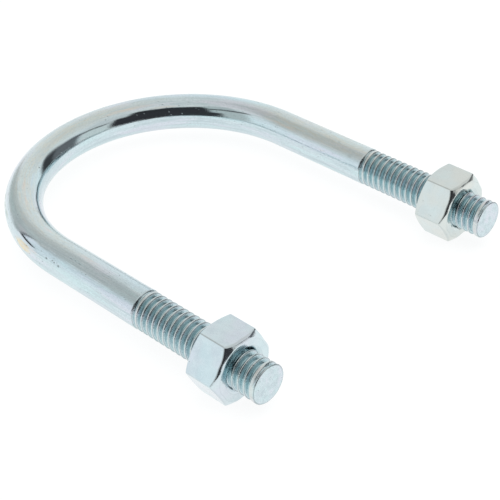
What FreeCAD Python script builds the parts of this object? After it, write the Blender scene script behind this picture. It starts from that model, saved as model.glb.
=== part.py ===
import FreeCAD, Part
import math
import os

from FreeCAD import Placement, Rotation, Vector

# A round-bend U-bolt with one plain hex nut on each leg. All lengths are millimetres.
# The bolt lies flat in the XY plane. The origin is the centre of its half-round bend, which is also the
# axis of the pipe it holds. The legs run along +X, the right one at -Y and the left one at +Y.

# Rod and bend: 5/16 in rod, 2-1/4 in clear width between the legs
rod_d = 25.4 * 5 / 16
inside_width = 25.4 * 2.25
leg_length = 55.2
leg_y = (inside_width + rod_d) / 2

# Outside thread: 5/16-18 UNC, right-handed, with a flat floor in each groove
pitch = 25.4 / 18
flank_angle = 30.0
thread_d = 7.80
thread_root_d = 6.20
groove_floor = 0.30
thread_length = 30.3
shoulder = (rod_d - thread_d) / 2
tip_chamfer = 0.15

# The groove's centre line crosses the +Y side of its leg at groove_x, and once a pitch after that.
# It sinks in from the plain rod over run_in_turns and is fully deep for groove_turns from full_depth_deg
# onwards. It then climbs out over run_out_turns, just short of the tip, which stays a full round disc.
groove_x = 24.68
run_in_turns = 0.75
full_depth_deg = 240.0
groove_turns = 20 + 1 / 3
run_out_turns = 0.5
overlap_deg = 6.0

# Nut: chamfered on both faces, more on the outer one, both thread mouths countersunk
nut_flats = 13.0
nut_height = 7.4
nut_inner_face_d = 12.7
nut_inner_chamfer_deg = 26.0
nut_outer_face_d = 12.3
nut_outer_chamfer_deg = 36.0
nut_bore_d = 6.58
nut_thread_d = 8.12
nut_groove_floor = 0.24
mouth_d = 9.4
mouth_half_angle = 60.0
nut_inner_x = 42.15
nut_groove_turns = 8

# How far each nut's hexagon is turned at rest, about +X, from having flats straight above and below
hex_turn_deg = {"right": -2.2, "left": 2.8}

# Bearing ring: the flat ring of the nut's inner face, which moves along the leg but has no visible turn
ring_outer_d = 10.7
ring_inner_d = 9.5
ring_thickness = 0.30
ring_gap = 0.05

# Cutters reach this far past the faces they cut
overrun = 1.0


def revolved(outline):
    """Solid made by turning an outline of (radius, height) points about the Z axis."""
    points = [Vector(r, 0, z) for r, z in outline]
    face = Part.Face(Part.makePolygon(points + points[:1]))
    return face.revolve(Vector(0, 0, 0), Vector(0, 0, 1), 360)


def on_leg(shape, x, y):
    """Copy of a shape built along Z, laid along +X with its base at x on the leg at y.

    The shape's own X side comes to face +Y, so angles round a leg are counted from +Y towards +Z.
    """
    placed = shape.copy()
    placed.Placement = Placement(Vector(x, y, 0), Rotation(Vector(1, 1, 1), 120))
    return placed


def groove_outline(r_floor, r_open, floor):
    """Closed V outline with a flat floor, in the XZ plane, widening from r_floor to r_open."""
    widening = 2 * abs(r_open - r_floor) * math.tan(math.radians(flank_angle))
    half_floor = floor / 2
    half_open = (floor + widening) / 2
    points = [
        Vector(r_floor, 0, -half_floor),
        Vector(r_open, 0, -half_open),
        Vector(r_open, 0, half_open),
        Vector(r_floor, 0, half_floor),
    ]
    return Part.makePolygon(points + points[:1])


def helical_cutter(turns, r_floor, r_open, floor):
    """Right-handed groove rising along Z, from the +X side at height 0."""
    spine = Part.Wire(Part.makeLongHelix(pitch, turns * pitch, r_floor, 0.0).Edges)
    return spine.makePipeShell([groove_outline(r_floor, r_open, floor)], True, True)


def climbing_cutter(turns, r_floor, r_open, floor, r_out):
    """Groove rising along Z from the +X side at height 0, which climbs out of the rod to r_out."""
    height = turns * pitch
    climb = math.degrees(math.atan((r_out - r_floor) / height))
    spine = Part.Wire(Part.makeHelix(pitch, height, r_floor, climb).Edges)
    return spine.makePipeShell([groove_outline(r_floor, r_open, floor)], True, True)


def turned(shape, angle_deg):
    """Screw a Z-axis shape on by an angle, with the rise that the thread gives it."""
    shape.rotate(Vector(0, 0, 0), Vector(0, 0, 1), angle_deg)
    shape.translate(Vector(0, 0, pitch * angle_deg / 360))
    return shape


def blank_leg():
    """Straight leg along Z: plain rod, a small shoulder, the thread's crest cylinder and the tip chamfer."""
    thread_start = leg_length - thread_length
    outline = [
        (0, 0),
        (rod_d / 2, 0),
        (rod_d / 2, thread_start),
        (thread_d / 2, thread_start + shoulder),
        (thread_d / 2, leg_length - tip_chamfer),
        (thread_d / 2 - tip_chamfer, leg_length),
        (0, leg_length),
    ]
    return revolved(outline)


def threaded_leg():
    """Straight leg along Z with its thread cut, run-in and run-out included."""
    r_floor = thread_root_d / 2
    r_open = rod_d / 2 + 0.01
    r_out = rod_d / 2 + 0.05
    main = turned(helical_cutter(groove_turns, r_floor, r_open, groove_floor), full_depth_deg)
    run_in = climbing_cutter(run_in_turns, r_floor, r_open, groove_floor, r_out)
    run_in.rotate(Vector(0, 0, 0), Vector(1, 0, 0), 180)
    run_in = turned(run_in, full_depth_deg + overlap_deg)
    run_out = climbing_cutter(run_out_turns, r_floor, r_open, groove_floor, r_out)
    run_out = turned(run_out, full_depth_deg + 360 * groove_turns - overlap_deg)
    leg = blank_leg()
    for cutter in (main, run_in, run_out):
        cutter.translate(Vector(0, 0, groove_x))
        leg = leg.cut(cutter)
    return leg


def bend():
    """Half-round bend of the rod, on the -X side of the origin."""
    ring = Part.makeTorus(leg_y, rod_d / 2)
    size = 2 * (leg_y + rod_d)
    back = Part.makeBox(size, 2 * size, size, Vector(-size, -size, -size / 2))
    return ring.common(back)


def u_bolt():
    leg = threaded_leg()
    rod = bend()
    for y in (-leg_y, leg_y):
        rod = rod.fuse(on_leg(leg, 0, y))
    return rod


def nut_blank(turn_deg):
    """Hex prism along Z, chamfered on both faces, turned from having two flats facing its Y sides."""
    corner_r = nut_flats / math.sqrt(3)
    angles = [math.radians(60 * k + turn_deg) for k in range(7)]
    corners = [Vector(corner_r * math.cos(a), corner_r * math.sin(a), 0) for a in angles]
    prism = Part.Face(Part.makePolygon(corners)).extrude(Vector(0, 0, nut_height))
    inner_r = nut_inner_face_d / 2
    outer_r = nut_outer_face_d / 2
    wide_r = corner_r + overrun
    inner_drop = (wide_r - inner_r) * math.tan(math.radians(nut_inner_chamfer_deg))
    outer_drop = (wide_r - outer_r) * math.tan(math.radians(nut_outer_chamfer_deg))
    envelope = revolved(
        [
            (0, 0),
            (inner_r, 0),
            (wide_r, inner_drop),
            (wide_r, nut_height - outer_drop),
            (outer_r, nut_height),
            (0, nut_height),
        ]
    )
    return prism.common(envelope)


def nut_hole():
    """Bore with a countersunk mouth at each end, along Z."""
    bore_r = nut_bore_d / 2
    slope = 1 / math.tan(math.radians(mouth_half_angle))
    depth = (mouth_d / 2 - bore_r) * slope
    wide_r = mouth_d / 2 + overrun / slope
    return revolved(
        [
            (0, -overrun),
            (wide_r, -overrun),
            (bore_r, depth),
            (bore_r, nut_height - depth),
            (wide_r, nut_height + overrun),
            (0, nut_height + overrun),
        ]
    )


def nut(turn_deg):
    """Hex nut along Z whose thread is in mesh with a leg when its inner face is at nut_inner_x."""
    inner_open_r = thread_root_d / 2
    groove = helical_cutter(nut_groove_turns, nut_thread_d / 2, inner_open_r, nut_groove_floor)
    crest_x = groove_x + pitch / 2
    turns_before = math.floor((nut_inner_x - overrun - crest_x) / pitch)
    groove.translate(Vector(0, 0, crest_x + turns_before * pitch - nut_inner_x))
    pocket = Part.makeCylinder(
        ring_outer_d / 2 + ring_gap,
        overrun + ring_thickness + ring_gap,
        Vector(0, 0, -overrun),
    )
    return nut_blank(turn_deg).cut(nut_hole()).cut(groove).cut(pocket)


def bearing_ring():
    outer = Part.makeCylinder(ring_outer_d / 2, ring_thickness)
    inner = Part.makeCylinder(ring_inner_d / 2, ring_thickness)
    return outer.cut(inner)


def single_solid(shape, name):
    """The one solid of a shape, checked."""
    if len(shape.Solids) != 1 or not shape.isValid():
        raise ValueError(name + " isn't one valid solid")
    return shape.Solids[0]


def main():
    os.makedirs("parts", exist_ok=True)
    nodes = {"u_bolt": u_bolt()}
    ring_shape = bearing_ring()
    for side, y in (("right", -leg_y), ("left", leg_y)):
        nodes[side + "_hex_nut"] = on_leg(nut(hex_turn_deg[side]), nut_inner_x, y)
        nodes[side + "_nut_bearing_ring"] = on_leg(ring_shape, nut_inner_x, y)
    for name, shape in nodes.items():
        solid = single_solid(shape, name)
        solid.exportStep("parts/" + name + ".step")
        print(name, round(solid.Volume, 1), "mm3")


main()
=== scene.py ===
import math

import bmesh
import bpy
import numpy as np
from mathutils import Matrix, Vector


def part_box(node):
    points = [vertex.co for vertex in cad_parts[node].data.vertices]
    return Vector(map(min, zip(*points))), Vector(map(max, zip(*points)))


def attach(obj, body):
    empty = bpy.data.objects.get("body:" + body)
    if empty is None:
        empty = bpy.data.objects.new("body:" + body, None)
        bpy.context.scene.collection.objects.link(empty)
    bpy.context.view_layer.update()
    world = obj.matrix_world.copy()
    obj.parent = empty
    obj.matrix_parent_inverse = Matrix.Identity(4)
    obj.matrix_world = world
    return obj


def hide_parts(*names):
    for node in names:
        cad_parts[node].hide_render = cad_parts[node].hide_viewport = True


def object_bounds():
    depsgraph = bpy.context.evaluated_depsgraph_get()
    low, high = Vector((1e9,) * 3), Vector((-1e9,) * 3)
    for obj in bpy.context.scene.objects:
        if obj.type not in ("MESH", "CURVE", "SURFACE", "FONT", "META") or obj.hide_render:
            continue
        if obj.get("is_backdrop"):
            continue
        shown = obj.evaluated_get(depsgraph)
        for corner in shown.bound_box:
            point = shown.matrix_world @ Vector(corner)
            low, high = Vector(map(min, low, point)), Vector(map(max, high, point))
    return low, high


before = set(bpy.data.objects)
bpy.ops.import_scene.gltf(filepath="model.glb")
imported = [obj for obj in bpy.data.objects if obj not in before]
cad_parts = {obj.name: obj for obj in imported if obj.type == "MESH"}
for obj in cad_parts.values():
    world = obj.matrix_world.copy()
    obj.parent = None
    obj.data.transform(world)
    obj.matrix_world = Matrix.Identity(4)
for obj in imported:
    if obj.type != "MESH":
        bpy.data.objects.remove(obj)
cad_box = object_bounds()

# Lengths in this script are millimetres until a mesh is made; MM turns them into metres.
MM = 0.001
TAU = 2 * math.pi

# ---------------------------------------------------------------- sizes that the frame gives

bolt_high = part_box("u_bolt")[1] / MM
ROD_R = bolt_high.z
LEG_Y = bolt_high.y - ROD_R
TIP_X = bolt_high.x
nut_low, nut_high = (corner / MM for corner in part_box("right_hex_nut"))
NUT_X0 = nut_low.x
NUT_X1 = nut_high.x
NUT_HEIGHT = NUT_X1 - NUT_X0

# 5/16-18 UNC thread, with the same clearances as the CAD
PITCH = 25.4 / 18
TAN_FLANK = math.tan(math.radians(30))
CREST_R = 3.90
ROOT_R = 3.10
GROOVE_HALF_FLOOR = 0.15
GROOVE_X = 24.68
SHOULDER_X = TIP_X - 30.3
TIP_CHAMFER = 0.15

# Degrees along the groove's helix: where it is fully deep, and how long it takes to sink in and climb out.
# It starts and ends just outside the rod.
RUN_IN_END = 240.0
RUN_IN_SPAN = 270.0
RUN_OUT_START = RUN_IN_END + 360 * (20 + 1 / 3)
RUN_OUT_SPAN = 180.0
OUTSIDE_R = ROD_R + 0.05

# How widely the thread's creases are rounded, the first turn's crest most, and how uneven its crests are
GROOVE_ROUNDING = 0.12
CREST_ROUNDING = 0.10
FIRST_CREST_ROUNDING = 0.06
SHOULDER_ROUNDING = 0.03
CREST_WEAR = 0.02

# The bolt's mesh changes from plain rings to rows that follow the thread here, a little before the thread
THREADED_FROM = 22.0
COLUMNS = 108

# Nut
APOTHEM = 6.50
MOUTH_R = 4.70
MOUTH_SLOPE = math.tan(math.radians(60))
NUT_BORE_R = 3.29
NUT_THREAD_R = 4.06
NUT_HALF_FLOOR = 0.12
NUT_ROUNDING = 0.08
CORNER_R = 0.36
HALF_SIDE = math.radians(30)
# Each end of a nut: face radius, chamfer, and the rounding's radius at mid-flat and at the corners
INNER_END = (6.35, math.radians(26), 0.22, 0.22)
OUTER_END = (6.15, math.radians(36), 0.85, 0.62)


# ---------------------------------------------------------------- mesh helpers


def smooth_max(a, b, k):
    """Larger of a and b, with the crease between them rounded over a width k."""
    nearness = np.clip(k - np.abs(a - b), 0, None) / k
    return np.maximum(a, b) + nearness**2 * k / 4


def smooth_min(a, b, k):
    return -smooth_max(-a, -b, k)


def bump_at(distance):
    """1 at distance 0, falling smoothly to 0 at distance 1."""
    t = np.clip(1 - np.abs(distance), 0, 1)
    return t * t * (3 - 2 * t)


class Shell:
    """Vertices with shader attributes, and faces, gathered before a mesh is made."""

    def __init__(self):
        self.points = []
        self.along = []
        self.edge = []
        self.depth = []
        self.faces = []

    def add(self, point, along, edge=0.0, depth=0.0):
        self.points.append(point)
        self.along.append(along)
        self.edge.append(edge)
        self.depth.append(depth)
        return len(self.points) - 1

    def face(self, *corners):
        """Adds a face, leaving out corners that coincide and faces with fewer than three left."""
        kept = [c for n, c in enumerate(corners) if c != corners[n - 1]]
        if len(set(kept)) >= 3:
            self.faces.append(tuple(kept))

    def bridge(self, ring_a, ring_b):
        """Joins two closed rings of the same length."""
        count = len(ring_a)
        for j in range(count):
            k = (j + 1) % count
            self.face(ring_a[j], ring_b[j], ring_b[k], ring_a[k])

    def fan(self, ring, centre):
        for j in range(len(ring)):
            self.face(ring[j], ring[(j + 1) % len(ring)], centre)

    def make(self, name, sharp_rings=()):
        mesh = bpy.data.meshes.new(name)
        mesh.from_pydata([Vector(p) * MM for p in self.points], [], self.faces)
        self.write(mesh, "along", "FLOAT_VECTOR", "vector", self.along)
        self.write(mesh, "edge", "FLOAT", "value", self.edge)
        self.write(mesh, "depth", "FLOAT", "value", self.depth)
        work = bmesh.new()
        work.from_mesh(mesh)
        bmesh.ops.recalc_face_normals(work, faces=work.faces)
        for face in work.faces:
            face.smooth = True
        work.verts.ensure_lookup_table()
        for ring in sharp_rings:
            members = set(ring)
            for corner in (work.verts[index] for index in ring):
                for side in corner.link_edges:
                    if side.other_vert(corner).index in members:
                        side.smooth = False
        work.to_mesh(mesh)
        work.free()
        mesh.validate()
        piece = bpy.data.objects.new(name, mesh)
        bpy.context.scene.collection.objects.link(piece)
        return piece

    @staticmethod
    def write(mesh, name, kind, field, values):
        attribute = mesh.attributes.new(name, kind, "POINT")
        attribute.data.foreach_set(field, np.asarray(values, np.float32).ravel())


def spiral_skin(shell, angles, groove_x, offsets, ring_from, ring_to, x_from, x_to, vertex):
    """Covers a threaded wall with rows that follow the thread, from ring_from at x_from to ring_to at x_to.

    The offsets go from the middle of the groove at groove_x to the middle of the crest beside it.
    vertex(x, j) adds the wall's vertex at x in column j.
    """
    offsets = [-o for o in offsets[-2:0:-1]] + offsets
    per_pitch = len(offsets)
    first = math.floor((x_from - groove_x) / PITCH) - 2
    last = math.ceil((x_to - groove_x) / PITCH) + 2
    rows = [groove_x + k * PITCH + o for k in range(first, last) for o in offsets]
    count = len(angles)
    snap = 0.03
    grid = []
    for start in rows:
        line = []
        for j, angle in enumerate(angles):
            x = start + PITCH * angle / TAU
            if x < x_from + snap:
                line.append(ring_from[j])
            elif x > x_to - snap:
                line.append(ring_to[j])
            else:
                line.append(vertex(x, j))
        grid.append(line)
    for i in range(len(rows) - 1):
        for j in range(count - 1):
            shell.face(grid[i][j], grid[i + 1][j], grid[i + 1][j + 1], grid[i][j + 1])
        if i + 1 + per_pitch < len(rows):
            shell.face(
                grid[i][count - 1],
                grid[i + 1][count - 1],
                grid[i + 1 + per_pitch][0],
                grid[i + per_pitch][0],
            )


# ---------------------------------------------------------------- bolt

# Marks left by the bending dies, as real dents on the outer side of the bend:
# place along the rod, angle from the outward direction towards +Z, half length, half width, depth
DENTS = [
    (22.6, 23, 1.3, 11, 0.12),
    (20.0, 20, 1.3, 11, 0.11),
    (17.0, 21, 2.0, 11, 0.12),
    (-2.4, 30, 0.6, 6, 0.03),
    (-4.1, 26, 0.6, 6, 0.03),
]


def plain_radius(s, phi_out):
    """The plain rod's radius: drawn bar, a little uneven, with the die marks."""
    r = ROD_R - 0.012 + 0.006 * math.sin(0.31 * s + 1.3) * math.cos(2 * phi_out)
    r += 0.004 * math.sin(0.9 * s + 5 * phi_out)
    degrees = math.degrees(phi_out)
    for place, angle, half_length, half_width, deep in DENTS:
        gap = math.hypot((s - place) / half_length, (degrees - angle) / half_width)
        r -= deep * float(bump_at(gap))
    return min(r, ROD_R)


def blank_radius(x, phi, turn):
    """Radius of a leg before its thread: plain rod, shoulder, uneven crests and tip chamfer."""
    if x < SHOULDER_X:
        return ROD_R
    shoulder = smooth_min(ROD_R, max(CREST_R, ROD_R - (x - SHOULDER_X)), SHOULDER_ROUNDING)
    waves = math.sin(7 * phi + 2.1 * turn) * math.sin(3 * phi - 1.3 * turn)
    chamfer = CREST_R - TIP_CHAMFER + (TIP_X - x)
    return min(shoulder, chamfer) - CREST_WEAR * (0.5 + 0.5 * waves)


def leg_radius(x, phi):
    """Radius of a threaded leg at x, and how far it lies below the crest, from 0 to 1."""
    turns = (x - GROOVE_X) / PITCH - phi / TAU
    turn = round(turns)
    off_centre = abs(turns - turn) * PITCH
    theta = math.degrees(phi) + 360 * turn
    rise = max(0.0, (RUN_IN_END - theta) / RUN_IN_SPAN, (theta - RUN_OUT_START) / RUN_OUT_SPAN)
    floor = ROOT_R + rise * (OUTSIDE_R - ROOT_R)
    flank = floor + (off_centre - GROOVE_HALF_FLOOR) / TAN_FLANK
    groove = smooth_max(floor, flank, GROOVE_ROUNDING)
    blank = blank_radius(x, phi, turn)
    first_turn = 1 - min(1.0, max(0.0, (theta - 200) / 200))
    r = float(smooth_min(blank, groove, CREST_ROUNDING + FIRST_CREST_ROUNDING * first_turn))
    return min(r, blank), min(1.0, max(0.0, (CREST_R - r) / (CREST_R - ROOT_R)))


def leg_point(side, x, r, phi):
    return (x, side * LEG_Y + r * math.cos(phi), r * math.sin(phi))


def leg_along(side, x, r, phi):
    """Place in rod coordinates: distance along the rod, then towards the inside of the U, then up."""
    if side < 0:
        return (-x, r * math.cos(phi), r * math.sin(phi))
    return (math.pi * LEG_Y + x, -r * math.cos(phi), r * math.sin(phi))


def bend_frame(s):
    """Centre of the rod's section at s, and the direction in it towards the inside of the U."""
    bend_length = math.pi * LEG_Y
    if s <= 0:
        return Vector((-s, -LEG_Y, 0)), Vector((0, 1, 0))
    if s >= bend_length:
        return Vector((s - bend_length, LEG_Y, 0)), Vector((0, -1, 0))
    angle = s / LEG_Y
    inward = Vector((math.sin(angle), math.cos(angle), 0))
    return -LEG_Y * inward, inward


def ring_places():
    """Where the plain rod's rings lie, closer together where the die marks are."""
    marked_from, marked_to = -6, 27
    fine_step, step, least_step = 0.36, 0.95, 0.3
    places = [-THREADED_FROM]
    end = math.pi * LEG_Y + THREADED_FROM
    while places[-1] < end:
        places.append(places[-1] + (fine_step if marked_from < places[-1] < marked_to else step))
    places[-1] = end
    if end - places[-2] < least_step:
        del places[-2]
    return places


def add_leg(shell, side, angles, start):
    """Adds the threaded part of a leg, grown from the ring start, and returns the ring round its tip."""

    def vertex(x, j):
        r, depth = leg_radius(x, angles[j])
        crest = float(bump_at(depth / 0.09)) if x > SHOULDER_X else 0.0
        point = leg_point(side, x, r, angles[j])
        return shell.add(point, leg_along(side, x, r, angles[j]), crest, depth)

    tip = [vertex(TIP_X, j) for j in range(COLUMNS)]
    offsets = [0.0, 0.10, 0.19, 0.33, 0.48, 0.575, 0.635, PITCH / 2]
    spiral_skin(shell, angles, GROOVE_X, offsets, start, tip, THREADED_FROM, TIP_X, vertex)

    # End face: the outermost ring follows the tip's own outline, and the ones inside it are round
    face_r = CREST_R - TIP_CHAMFER
    outlines = [
        [0.94 * leg_radius(TIP_X, phi)[0] for phi in angles],
        [0.62 * face_r] * COLUMNS,
        [0.30 * face_r] * COLUMNS,
    ]
    ring = tip
    for outline in outlines:
        inner = []
        for r, phi in zip(outline, angles):
            point = leg_point(side, TIP_X, r, phi)
            inner.append(shell.add(point, leg_along(side, TIP_X, r, phi)))
        shell.bridge(ring, inner)
        ring = inner
    middle = shell.add(leg_point(side, TIP_X, 0, 0), leg_along(side, TIP_X, 0, 0))
    shell.fan(ring, middle)
    return tip


def make_bolt():
    shell = Shell()
    angles = [TAU * j / COLUMNS for j in range(COLUMNS)]
    rings = []
    for s in ring_places():
        centre, inward = bend_frame(s)
        ring = []
        for phi in angles:
            r = plain_radius(s, math.pi - phi)
            point = centre + r * math.cos(phi) * inward + Vector((0, 0, r * math.sin(phi)))
            ring.append(shell.add(point, (s, r * math.cos(phi), r * math.sin(phi))))
        rings.append(ring)
    for a, b in zip(rings, rings[1:]):
        shell.bridge(a, b)

    # The left leg's columns run the other way round from those of the rod that comes to it
    left_start = [rings[-1][(COLUMNS // 2 - j) % COLUMNS] for j in range(COLUMNS)]
    tips = [add_leg(shell, -1, angles, rings[0]), add_leg(shell, 1, angles, left_start)]
    return shell.make("u_bolt_rod", sharp_rings=tips)


# ---------------------------------------------------------------- nuts


def hexagon_radius(delta):
    """Distance from the axis to the hexagon's side, at an angle delta from its nearest rounded corner."""
    middle = (APOTHEM - CORNER_R) / math.cos(HALF_SIDE)
    reach = math.atan2(CORNER_R * math.sin(HALF_SIDE), middle + CORNER_R * math.cos(HALF_SIDE))
    if abs(delta) > reach:
        return APOTHEM / math.cos(HALF_SIDE - abs(delta))
    return middle * math.cos(delta) + math.sqrt(CORNER_R**2 - (middle * math.sin(delta)) ** 2)


def end_profile(end, delta):
    """Points (radius, depth below the face, edge) from the mouth to the start of the side.

    A ball of the fillet's size, rolled inside the outline of face, chamfer and side, rounds its corners.
    """
    face_r, chamfer, on_flats, at_corners = end
    flat_rings = [(0.0, 1.0), (0.035, 0.7), (0.10, 0.0), (0.55, 0.0), (0.85, 0.0)]
    points = [(MOUTH_R + gap, 0.0, edge) for gap, edge in flat_rings]
    fillet = at_corners + (on_flats - at_corners) * min(1.0, abs(delta) / HALF_SIDE)
    side_ball = hexagon_radius(delta) - fillet
    face_ball = min(face_r - fillet * math.tan(chamfer / 2), side_ball)
    sunk = (fillet + (side_ball - face_r) * math.sin(chamfer)) / math.cos(chamfer)
    sunk = max(fillet, sunk)
    for share in (0.0, 0.25, 0.5, 0.75, 0.98):
        angle = chamfer * share
        r = face_ball + fillet * math.sin(angle)
        points.append((r, fillet * (1 - math.cos(angle)), 0.9 if share == 0.25 else 0.0))
    for share in (0.01, 0.1, 0.2, 0.32, 0.45, 0.6, 0.75, 0.9, 1.0):
        angle = chamfer + (math.pi / 2 - chamfer) * share
        r = side_ball + fillet * math.sin(angle)
        points.append((r, sunk - fillet * math.cos(angle), math.sin(math.pi * share)))
    return points


def make_nut(name, side, turn):
    """One nut, its hexagon turned by so many degrees from having flats straight above and below."""
    shell = Shell()
    half = [0.0, 0.45, 0.95, 1.45, 2.1, 4.0, 7.0, 11.0, 15.0, 20.0, 25.0]
    sector = half + [30.0] + [60 - d for d in half[:0:-1]]
    degrees = [turn + 60 * k + d for k in range(6) for d in sector]
    angles = [math.radians(d) for d in degrees]
    deltas = [math.radians(d if d <= 30 else d - 60) for _ in range(6) for d in sector]

    def put(x, r, phi, edge=0.0, depth=0.0):
        across = (r * math.cos(phi), r * math.sin(phi))
        along = (x - NUT_X0 + 40 * side, across[0] + 17 * side, across[1])
        return shell.add((x, side * LEG_Y + across[0], across[1]), along, edge, depth)

    inner = [end_profile(INNER_END, d) for d in deltas]
    outer = [end_profile(OUTER_END, d) for d in deltas]
    rings = []
    for points in zip(*inner):
        rings.append([put(NUT_X0 + drop, r, phi, e) for (r, drop, e), phi in zip(points, angles)])
    corner_edge = [float(bump_at(d / math.radians(2.0))) for d in deltas]
    for share in (0.02, 0.2, 0.4, 0.6, 0.8, 0.98):
        ring = []
        for j, phi in enumerate(angles):
            side_r, start, _ = inner[j][-1]
            x = NUT_X0 + start + share * (NUT_HEIGHT - start - outer[j][-1][1])
            ring.append(put(x, side_r, phi, corner_edge[j]))
        rings.append(ring)
    for points in reversed(list(zip(*outer))):
        rings.append([put(NUT_X1 - drop, r, phi, e) for (r, drop, e), phi in zip(points, angles)])
    for a, b in zip(rings, rings[1:]):
        shell.bridge(a, b)

    # The nut's thread has its grooves where the leg's has its crests
    nut_groove_x = GROOVE_X + PITCH / 2

    def vertex(x, j):
        phi = angles[j]
        turns = (x - nut_groove_x) / PITCH - phi / TAU
        off_centre = abs(turns - round(turns)) * PITCH
        flank = NUT_THREAD_R - (off_centre - NUT_HALF_FLOOR) / TAN_FLANK
        groove = smooth_min(NUT_THREAD_R, flank, NUT_ROUNDING)
        inset = min(x - NUT_X0, NUT_X1 - x)
        mouth = MOUTH_R - inset * MOUTH_SLOPE
        r = float(smooth_max(smooth_max(NUT_BORE_R, groove, NUT_ROUNDING), mouth, NUT_ROUNDING))
        edge = 0.8 if r > MOUTH_R - 0.05 else 0.0
        return put(x, min(r, MOUTH_R - 0.002), phi, edge, min(1.0, inset / 0.8))

    offsets = [0.0, 0.12, 0.24, 0.40, 0.52, 0.62, PITCH / 2]
    spiral_skin(
        shell, angles, nut_groove_x, offsets, rings[0], rings[-1], NUT_X0, NUT_X1, vertex
    )
    return shell.make(name)


# ---------------------------------------------------------------- shader helpers


class Graph:
    """Adds shader nodes to a node tree and wires them."""

    def __init__(self, tree):
        self.tree = tree
        tree.nodes.clear()

    def node(self, kind, **settings):
        made = self.tree.nodes.new(kind)
        for key, value in settings.items():
            setattr(made, key, value)
        return made

    def wire(self, value, socket):
        if isinstance(value, bpy.types.NodeSocket):
            self.tree.links.new(value, socket)
        elif value is not None:
            socket.default_value = value

    def math(self, operation, *values):
        made = self.node("ShaderNodeMath", operation=operation)
        for value, socket in zip(values, made.inputs):
            self.wire(value, socket)
        return made.outputs[0]

    def vector_math(self, operation, *values):
        made = self.node("ShaderNodeVectorMath", operation=operation)
        for value, socket in zip(values, made.inputs):
            self.wire(value, socket)
        return made.outputs[0]

    def fade(self, value, start, end):
        """0 where value is below start, 1 above end, smooth between; start may be above end."""
        made = self.node("ShaderNodeMapRange", interpolation_type="SMOOTHSTEP", clamp=True)
        self.wire(value, made.inputs["Value"])
        if start < end:
            low, high, to_low, to_high = start, end, 0.0, 1.0
        else:
            low, high, to_low, to_high = end, start, 1.0, 0.0
        made.inputs["From Min"].default_value = low
        made.inputs["From Max"].default_value = high
        made.inputs["To Min"].default_value = to_low
        made.inputs["To Max"].default_value = to_high
        return made.outputs["Result"]

    def between(self, value, low, high, soft):
        """1 where value lies between low and high, with soft edges."""
        rising = self.fade(value, low - soft / 2, low + soft / 2)
        falling = self.fade(value, high + soft / 2, high - soft / 2)
        return self.math("MULTIPLY", rising, falling)

    def mix(self, factor, a, b):
        made = self.node("ShaderNodeMix", data_type="RGBA")
        self.wire(factor, made.inputs["Factor"])
        sockets = [socket for socket in made.inputs if socket.type == "RGBA"]
        for value, socket in zip((a, b), sockets):
            self.wire((*value, 1.0) if isinstance(value, tuple) else value, socket)
        return [socket for socket in made.outputs if socket.type == "RGBA"][0]

    def tint(self, colour, amount, strength, stain_or_shade):
        """The colour, with a second colour of some strength mixed in where amount is above 0: stains, wear
        and tone, and also painted shade and a painted highlight.
        """
        return self.mix(self.math("MULTIPLY", amount, strength), colour, stain_or_shade)

    def less(self, amount, share):
        """1 where amount is 0, falling by share where amount is 1."""
        return self.math("MULTIPLY_ADD", amount, -share, 1.0)

    def noise(self, vector, scale, detail=3.0, roughness=0.5):
        made = self.node("ShaderNodeTexNoise")
        self.wire(vector, made.inputs["Vector"])
        made.inputs["Scale"].default_value = scale
        made.inputs["Detail"].default_value = detail
        made.inputs["Roughness"].default_value = roughness
        return made.outputs[0]

    def spots(self, vector, scale):
        """Distance to the nearest of a set of scattered points."""
        made = self.node("ShaderNodeTexVoronoi", feature="F1")
        self.wire(vector, made.inputs["Vector"])
        made.inputs["Scale"].default_value = scale
        return made.outputs["Distance"]

    def attribute(self, name):
        return self.node("ShaderNodeAttribute", attribute_type="GEOMETRY", attribute_name=name)


def metal(name):
    material = bpy.data.materials.new(name)
    material.use_nodes = True
    graph = Graph(material.node_tree)
    surface = graph.node("ShaderNodeBsdfPrincipled")
    surface.inputs["Metallic"].default_value = 1.0
    output = graph.node("ShaderNodeOutputMaterial")
    graph.wire(surface.outputs["BSDF"], output.inputs["Surface"])
    return material, graph, surface


def relief(graph, surface, layers):
    """Chains bump layers of (height, depth in mm) into the surface's normal."""
    normal = None
    for height, depth in layers:
        made = graph.node("ShaderNodeBump")
        made.inputs["Strength"].default_value = 1.0
        made.inputs["Distance"].default_value = depth * MM
        graph.wire(height, made.inputs["Height"])
        graph.wire(normal, made.inputs["Normal"])
        normal = made.outputs["Normal"]
    graph.wire(normal, surface.inputs["Normal"])


# Zinc with a thin clear blue passivation, and its variations
ZINC = (0.635, 0.750, 0.790)
ZINC_GREY = (0.530, 0.635, 0.675)
ZINC_DULL = (0.40, 0.48, 0.51)
ZINC_BRIGHT = (0.72, 0.82, 0.85)
ZINC_NUT = (0.665, 0.755, 0.790)
ZINC_NUT_GREY = (0.60, 0.69, 0.735)
NUT_EDGE = (0.42, 0.49, 0.51)
LILAC = (0.72, 0.745, 0.83)
CYAN = (0.62, 0.80, 0.82)
# painted shade, laid in the thread's grooves and deep in the nuts' bores
GROOVE_SHADE = (0.37, 0.54, 0.58)
# painted shade: the dark band on the thread's flanks just below the crests
GROOVE_RIM_SHADE = (0.19, 0.24, 0.25)
# also tints the thread's crests, partly as wear and partly as a painted highlight
WARM = (0.76, 0.69, 0.61)
YELLOW = (0.86, 0.69, 0.38)
AMBER = (0.72, 0.52, 0.26)
ROSE = (0.80, 0.70, 0.68)
STRAW = (0.68, 0.70, 0.64)
BLUE = (0.62, 0.76, 0.88)
SOOT = (0.20, 0.24, 0.25)
MOSS = (0.42, 0.54, 0.50)
CREAM = (0.71, 0.735, 0.68)

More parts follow.
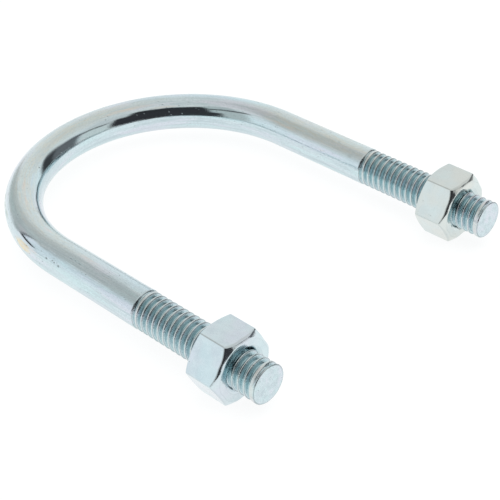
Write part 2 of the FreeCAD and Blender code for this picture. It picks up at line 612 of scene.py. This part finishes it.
# Stains on the rod: place along it, angle from the outward direction towards +Z, half length,
# half width, colour and strength. Places and half lengths are mm, angles and half widths degrees.
STAINS = [
    # the first two tint the rod's upper side straw along most of its length
    (28, 98, 56, 46, STRAW, 0.95),
    (114, 98, 26, 56, STRAW, 0.95),
    (7.0, 11, 3.6, 17, YELLOW, 1.0),
    (5.6, 20, 1.5, 7, AMBER, 0.9),
    (3.4, 22, 1.8, 8, ROSE, 0.7),
    (20, 97, 7.5, 8, WARM, 0.9),
    (63, 120, 9.0, 7, WARM, 0.8),
    (72, 133, 4.5, 5, WARM, 0.7),
    (104, 132, 6.0, 8, WARM, 0.6),
    (4.4, 100, 1.8, 9, ROSE, 0.8),
    (-9.5, 86, 4.0, 9, ROSE, 0.5),
    (25, 120, 4.5, 6, BLUE, 0.6),
    (22.6, 20, 1.3, 12, MOSS, 0.9),
    (20.2, 18, 1.8, 14, MOSS, 0.9),
    (17.0, 20, 2.2, 13, MOSS, 1.0),
]

# Small pits: place, angle, half length and half width
PITS = [
    (-0.5, 28, 0.42, 3.6),
    (-2.2, 31, 0.22, 2.6),
    (-2.8, 29, 0.26, 3.0),
    (-4.1, 26, 0.36, 4.2),
    (-6.1, 63, 0.50, 1.8),
    (-7.3, 64, 0.45, 1.6),
    (-8.6, 63, 0.60, 1.4),
    (13.0, 60, 0.22, 3.0),
    (31.0, 128, 0.25, 3.0),
]

# Where the bending tool has pressed the rod smooth: place, angle, half length and half width
BURNISHED = [
    (5.5, 42, 8.0, 24),
    (50, 140, 120, 28),
]


def rod_material():
    material, graph, surface = metal("zinc_rod_finish")
    place = graph.attribute("along").outputs["Vector"]
    edge = graph.attribute("edge").outputs["Fac"]
    depth = graph.attribute("depth").outputs["Fac"]

    split = graph.node("ShaderNodeSeparateXYZ")
    graph.wire(place, split.inputs[0])
    outward = graph.math("MULTIPLY", split.outputs["Y"], -1.0)
    angle = graph.math("DEGREES", graph.math("ARCTAN2", split.outputs["Z"], outward))
    unrolled = graph.node("ShaderNodeCombineXYZ")
    graph.wire(split.outputs["X"], unrolled.inputs["X"])
    graph.wire(angle, unrolled.inputs["Y"])
    unrolled = unrolled.outputs[0]

    def spot(s, phi, half_length, half_width, rim):
        """1 in the middle of an ellipse on the unrolled rod, falling to 0 from a share rim of its size."""
        moved = graph.vector_math("SUBTRACT", unrolled, (s, phi, 0.0))
        scaled = graph.vector_math("MULTIPLY", moved, (1 / half_length, 1 / half_width, 0.0))
        length = graph.node("ShaderNodeVectorMath", operation="LENGTH")
        graph.wire(scaled, length.inputs[0])
        return graph.fade(length.outputs["Value"], 1.0, rim)

    lengthwise = graph.vector_math("MULTIPLY", place, (0.035, 1.0, 1.0))
    longer = graph.vector_math("MULTIPLY", place, (0.12, 1.0, 1.0))
    broad = graph.noise(lengthwise, 0.9, 4.0, 0.6)
    fine = graph.noise(lengthwise, 4.2, 4.0, 0.65)
    short = graph.noise(longer, 2.4, 5.0, 0.7)
    cloud = graph.noise(place, 0.16, 3.0, 0.55)
    grain = graph.noise(place, 5.0, 3.0, 0.7)

    # Drawn steel under a thin film, with its stains
    colour = graph.mix(graph.fade(broad, 0.34, 0.60), ZINC_GREY, ZINC)
    colour = graph.mix(graph.fade(fine, 0.50, 0.74), colour, ZINC_BRIGHT)
    film = graph.noise(longer, 0.45, 3.0, 0.6)
    colour = graph.tint(colour, graph.fade(film, 0.52, 0.64), 0.65, LILAC)
    colour = graph.tint(colour, graph.fade(film, 0.48, 0.36), 0.60, CYAN)
    streaky = graph.math("MULTIPLY_ADD", graph.fade(short, 0.42, 0.62), 0.6, 0.4)
    for *where, stain_or_shade, strength in STAINS:
        amount = graph.math("MULTIPLY", spot(*where, 0.35), strength)
        colour = graph.tint(colour, amount, streaky, stain_or_shade)
    warm = graph.math("MULTIPLY", graph.fade(short, 0.58, 0.74), graph.fade(cloud, 0.48, 0.62))
    colour = graph.tint(colour, warm, 0.45, WARM)
    dull = graph.fade(grain, 0.52, 0.36)
    colour = graph.tint(colour, dull, 0.50, ZINC_DULL)

    # Thread: grooves darkened with painted shade, a dark band of painted shade on the flanks below the
    # crests, and crests tinted warm, partly as worn plating and partly as a painted highlight
    colour = graph.tint(colour, graph.fade(depth, 0.02, 0.85), 0.85, GROOVE_SHADE)
    # painted shade: a dark band on the upper flanks, below the crests
    colour = graph.tint(colour, graph.between(depth, 0.10, 0.26, 0.08), 0.5, GROOVE_RIM_SHADE)
    # crests tinted warm: partly worn plating, partly a painted highlight
    colour = graph.tint(colour, edge, 0.35, WARM)

    scattered = graph.spots(graph.vector_math("MULTIPLY", place, (0.7, 1.0, 1.0)), 1.15)
    pit = graph.math("MULTIPLY", graph.fade(scattered, 0.14, 0.05), graph.fade(cloud, 0.44, 0.56))
    for mark in PITS:
        pit = graph.math("MAXIMUM", pit, spot(*mark, 0.4))
    colour = graph.tint(colour, pit, 0.75, SOOT)
    graph.wire(colour, surface.inputs["Base Color"])

    burnished = 0.0
    for mark in BURNISHED:
        burnished = graph.math("MAXIMUM", burnished, spot(*mark, 0.6))
    rough = graph.math("MULTIPLY_ADD", graph.fade(short, 0.35, 0.75), 0.10, 0.055)
    rough = graph.math("MULTIPLY_ADD", dull, 0.05, rough)
    rough = graph.math("MULTIPLY", rough, graph.less(burnished, 0.6))
    rough = graph.math("MULTIPLY_ADD", pit, 0.25, rough)
    rough = graph.math("MULTIPLY_ADD", graph.fade(depth, 0.05, 0.6), 0.12, rough)
    graph.wire(rough, surface.inputs["Roughness"])

    streaks_left = graph.less(burnished, 0.9)
    fine_streaks = graph.math("MULTIPLY", fine, streaks_left)
    broad_streaks = graph.math("MULTIPLY", broad, streaks_left)
    grains = graph.math("MULTIPLY", grain, graph.less(burnished, 0.75))
    flanks = graph.between(depth, 0.03, 0.5, 0.1)
    nicks = graph.math("MULTIPLY", graph.noise(place, 6.0, 2.0, 0.6), flanks)
    layers = [
        (fine_streaks, 0.022),
        (broad_streaks, 0.03),
        (grains, 0.018),
        (pit, -0.04),
        (nicks, 0.04),
    ]
    relief(graph, surface, layers)
    return material


def nut_material():
    material, graph, surface = metal("zinc_nut_finish")
    place = graph.attribute("along").outputs["Vector"]
    edge = graph.attribute("edge").outputs["Fac"]
    depth = graph.attribute("depth").outputs["Fac"]

    across = graph.vector_math("MULTIPLY", place, (2.6, 0.35, 0.35))
    cloud = graph.noise(place, 0.33, 4.0, 0.6)
    film = graph.noise(place, 0.21, 3.0, 0.5)
    fine = graph.noise(place, 2.6, 5.0, 0.65)
    scratch = graph.noise(across, 2.2, 4.0, 0.7)
    colour = graph.mix(graph.fade(cloud, 0.36, 0.60), ZINC_NUT_GREY, ZINC_NUT)
    colour = graph.tint(colour, graph.fade(film, 0.50, 0.64), 0.45, LILAC)
    colour = graph.tint(colour, graph.fade(film, 0.50, 0.36), 0.35, CYAN)
    colour = graph.tint(colour, graph.fade(fine, 0.5, 0.75), 0.7, ZINC_BRIGHT)
    colour = graph.tint(colour, graph.fade(fine, 0.42, 0.26), 0.4, ZINC_GREY)

    # The left nut is creamier and more scratched than the right one
    split = graph.node("ShaderNodeSeparateXYZ")
    graph.wire(place, split.inputs[0])
    on_left = graph.fade(split.outputs["Y"], -3.0, 3.0)
    cream = graph.math("MULTIPLY_ADD", graph.fade(film, 0.35, 0.65), 0.35, 0.45)
    colour = graph.tint(colour, on_left, cream, CREAM)
    worn = graph.math("MULTIPLY", graph.fade(scratch, 0.60, 0.72), on_left)
    colour = graph.tint(colour, worn, 0.45, MOSS)

    colour = graph.tint(colour, edge, 0.30, NUT_EDGE)
    # painted shade: the bore darkens the deeper it lies inside the nut
    colour = graph.tint(colour, depth, 0.6, GROOVE_SHADE)
    scattered = graph.spots(place, 0.9)
    pit = graph.math("MULTIPLY", graph.fade(scattered, 0.10, 0.04), graph.fade(cloud, 0.48, 0.56))
    colour = graph.tint(colour, pit, 0.5, SOOT)
    graph.wire(colour, surface.inputs["Base Color"])
    rough = graph.math("MULTIPLY_ADD", graph.fade(scratch, 0.45, 0.8), 0.10, 0.10)
    graph.wire(rough, surface.inputs["Roughness"])
    relief(graph, surface, [(cloud, 0.06), (fine, 0.012), (scratch, 0.006), (pit, -0.03)])
    return material


# ---------------------------------------------------------------- studio

# What the metal mirrors: compass direction of the middle, half width and softness of the sides, lowest
# and highest elevation and their softness, all in degrees, and colour. Later ones cover earlier ones.
WALLS = [
    # grey back wall, its lower part, and the bright panel in front of it with a dark foot and post
    (-165, 33, 26, 24, 72, 18, (0.635, 0.625, 0.61)),
    (-178, 21, 5, -2, 27, 6, (0.60, 0.60, 0.585)),
    (-144, 13, 2.5, 3, 27, 5, (0.93, 0.97, 1.00)),
    (-149.5, 7.0, 1.5, 2.4, 8.4, 1.0, (0.0, 0.0, 0.0)),
    (-156.3, 1.1, 0.8, 4, 30, 4, (0.0, 0.0, 0.0)),
    # dim walls beside the dark opening behind the camera, each with a dark rail
    (-90, 16, 10, 3, 62, 12, (0.60, 0.605, 0.60)),
    (-94, 19, 4, 41, 47, 3, (0.10, 0.10, 0.10)),
    (22, 22, 12, -2, 58, 20, (0.76, 0.755, 0.745)),
    (36, 19, 6, 28, 34, 4, (0.20, 0.20, 0.20)),
    # the opening: its dim side towards +X, middle, lower part on that side, foot, and other side's foot
    (-1, 9, 8, -2, 26, 8, (0.15, 0.15, 0.16)),
    (-36.5, 37.5, 5, 8, 56, 5, (0.045, 0.043, 0.048)),
    (3, 10, 5, 8, 41, 8, (0.045, 0.043, 0.048)),
    (-42.5, 33.5, 7, -2, 12, 6, (0.06, 0.058, 0.062)),
    (-73, 9, 4, 3, 24, 7, (0.05, 0.048, 0.052)),
    # dark opening beyond the legs' tips
    (68, 24, 9, -2, 35, 9, (0.17, 0.17, 0.18)),
    (82, 8, 6, -1, 28, 7, (0.06, 0.06, 0.065)),
    # foot of the far wall
    (85, 62, 12, -4, 1.5, 3, (0.42, 0.43, 0.44)),
]
ROOM_LOW = (0.95, 0.985, 1.01)
ROOM_HIGH = (0.82, 0.81, 0.79)
WHITE = (1.0, 1.0, 1.0)


def make_world():
    """A pale room whose walls have a few dark openings, all with soft edges, and plain white to look at."""
    world = bpy.data.worlds.new("studio")
    world.use_nodes = True
    graph = Graph(world.node_tree)
    direction = graph.node("ShaderNodeTexCoord").outputs["Generated"]
    split = graph.node("ShaderNodeSeparateXYZ")
    graph.wire(direction, split.inputs[0])
    x, y, z = split.outputs
    elevation = graph.math("DEGREES", graph.math("ARCSINE", z))

    def patch(centre, half, az_soft, el_low, el_high, el_soft):
        """1 within half a width of a compass direction and between two heights, all in degrees."""
        cos, sin = math.cos(math.radians(centre)), math.sin(math.radians(centre))
        ahead = graph.math("MULTIPLY_ADD", y, sin, graph.math("MULTIPLY", x, cos))
        aside = graph.math("MULTIPLY_ADD", y, cos, graph.math("MULTIPLY", x, -sin))
        turn = graph.math("DEGREES", graph.math("ARCTAN2", aside, ahead))
        offset = graph.math("ABSOLUTE", turn)
        sideways = graph.fade(offset, half + az_soft / 2, half - az_soft / 2)
        upwards = graph.between(elevation, el_low, el_high, el_soft)
        return graph.math("MULTIPLY", sideways, upwards)

    colour = graph.mix(graph.fade(elevation, 14, 58), ROOM_LOW, ROOM_HIGH)
    for *where, shade in WALLS:
        colour = graph.mix(patch(*where), colour, shade)
    colour = graph.mix(graph.node("ShaderNodeLightPath").outputs["Is Camera Ray"], colour, WHITE)
    background = graph.node("ShaderNodeBackground")
    graph.wire(colour, background.inputs["Color"])
    output = graph.node("ShaderNodeOutputWorld")
    graph.wire(background.outputs[0], output.inputs["Surface"])
    bpy.context.scene.world = world


def make_floor(z):
    """A large plain pale floor that shines like a light table, so that shadows on it are faint."""
    work = bmesh.new()
    bmesh.ops.create_grid(work, x_segments=8, y_segments=8, size=3.0)
    mesh = bpy.data.meshes.new("floor")
    work.to_mesh(mesh)
    work.free()
    floor = bpy.data.objects.new("floor", mesh)
    floor.location = (0, 0, z)
    bpy.context.scene.collection.objects.link(floor)
    material = bpy.data.materials.new("floor_paint")
    material.use_nodes = True
    graph = Graph(material.node_tree)
    mottle = graph.noise(graph.node("ShaderNodeTexCoord").outputs["Object"], 30.0)
    surface = graph.node("ShaderNodeBsdfPrincipled")
    paint = graph.mix(mottle, (0.12, 0.12, 0.12), (0.13, 0.13, 0.13))
    glow = graph.mix(mottle, (0.97, 0.985, 0.99), WHITE)
    graph.wire(paint, surface.inputs["Base Color"])
    graph.wire(glow, surface.inputs["Emission Color"])
    surface.inputs["Emission Strength"].default_value = 0.92
    surface.inputs["Roughness"].default_value = 0.9
    surface.inputs["Specular IOR Level"].default_value = 0.0
    output = graph.node("ShaderNodeOutputMaterial")
    graph.wire(surface.outputs["BSDF"], output.inputs["Surface"])
    floor.data.materials.append(material)
    floor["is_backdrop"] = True


def make_overhead():
    """Large soft light above, which brightens the floor but has no image in the metal."""
    light = bpy.data.lights.new("overhead", "AREA")
    light.shape = "DISK"
    light.size = 1.6
    light.energy = 9.0
    overhead = bpy.data.objects.new("overhead", light)
    overhead.location = (0.1, 0.0, 1.1)
    overhead.visible_glossy = False
    overhead.visible_camera = False
    bpy.context.scene.collection.objects.link(overhead)


def make_camera():
    lens = bpy.data.cameras.new("camera")
    lens.sensor_width = 36.0
    lens.lens = 87.06
    lens.clip_start = 0.01
    camera = bpy.data.objects.new("camera", lens)
    camera.location = (0.1593, -0.1432, 0.1393)
    camera.rotation_euler = [math.radians(a) for a in (53.85, 1.35, 43.20)]
    bpy.context.scene.collection.objects.link(camera)
    bpy.context.scene.camera = camera


# ---------------------------------------------------------------- build

rod_finish = rod_material()
nut_finish = nut_material()

bolt = make_bolt()
bolt.data.materials.append(rod_finish)
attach(bolt, "u_bolt")
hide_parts("u_bolt")

for side_name, side_sign, hex_turn in (("right", -1, -2.2), ("left", 1, 2.8)):
    nut = make_nut(side_name + "_nut_zinc", side_sign, hex_turn)
    nut.data.materials.append(nut_finish)
    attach(nut, side_name + "_nut")
    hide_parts(side_name + "_hex_nut", side_name + "_nut_bearing_ring")

# The floor lies a hair's gap below the nuts' lowest corner
lowest = min(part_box("right_hex_nut")[0].z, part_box("left_hex_nut")[0].z)
floor_gap = 0.05 * MM

make_world()
make_floor(lowest - floor_gap)
make_overhead()
make_camera()
bpy.context.scene.view_settings.view_transform = "Standard"

bpy.context.view_layer.update()
boxes = {"cad": cad_box, "visual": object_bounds()}
{k: [[float(c) for c in corner] for corner in v] for k, v in boxes.items()}
